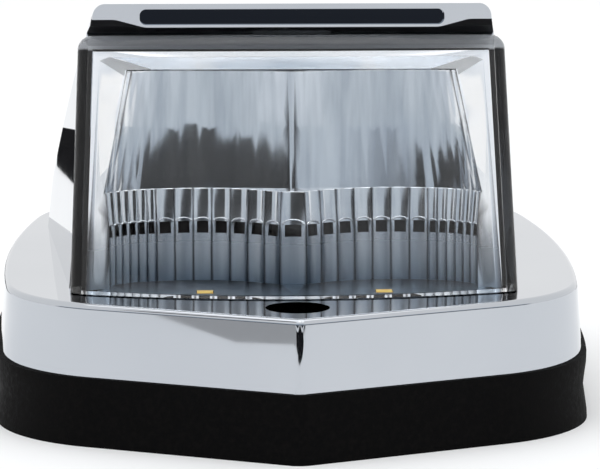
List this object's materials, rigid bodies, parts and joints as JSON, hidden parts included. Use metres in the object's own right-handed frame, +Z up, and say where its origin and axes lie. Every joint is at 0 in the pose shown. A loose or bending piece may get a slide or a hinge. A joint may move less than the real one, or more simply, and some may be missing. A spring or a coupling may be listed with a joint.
{
  "type": "roof marker lamp",
  "caption": "Chromed roof marker lamp: shield-shaped base on a rubber pad, hood with visor, clear lens leaning back over a fluted mirror lit by amber light sources.",
  "frame": {"origin": "middle of the pad's underside, on the plane it is fixed to", "axes": "+Z up from the roof, -Y the way the lens faces, +X to the right seen from the front"},
  "size_m": [0.1256, 0.1766, 0.0853],
  "materials": {
    "pad_rubber": "matt black rubber with a fine grain",
    "chrome_casting": "bright chrome plate on a zinc die casting",
    "clear_lens": "clear polished polycarbonate",
    "black_seal": "satin black joint",
    "mirror_coat": "vacuum-metallised plastic, bright",
    "black_moulding": "matt black plastic",
    "board_laminate": "white solder resist on laminate",
    "amber_source": "amber cast resin",
    "dark_chip": "black moulded chip",
    "can_metal": "drawn aluminium can",
    "tinned_brass": "tinned brass pin",
    "screw_steel": "zinc-plated steel",
    "bush_rubber": "black rubber"
  },
  "bodies": {
    "root": {"mounting_gasket": "pad_rubber", "lamp_housing": "chrome_casting", "lens": "clear_lens", "lens_seal": "black_seal", "reflector": "mirror_coat", "module_tray": "black_moulding", "led_board": "board_laminate", "led_left": "amber_source", "led_right": "amber_source", "ballast_resistors": "dark_chip", "rectifier_diode": "dark_chip", "surge_suppressor": "dark_chip", "smoothing_capacitor": "can_metal", "solder_terminals": "tinned_brass", "board_screws": "screw_steel", "module_screws": "screw_steel", "wire_grommet": "bush_rubber"}
  },
  "joints": []
}
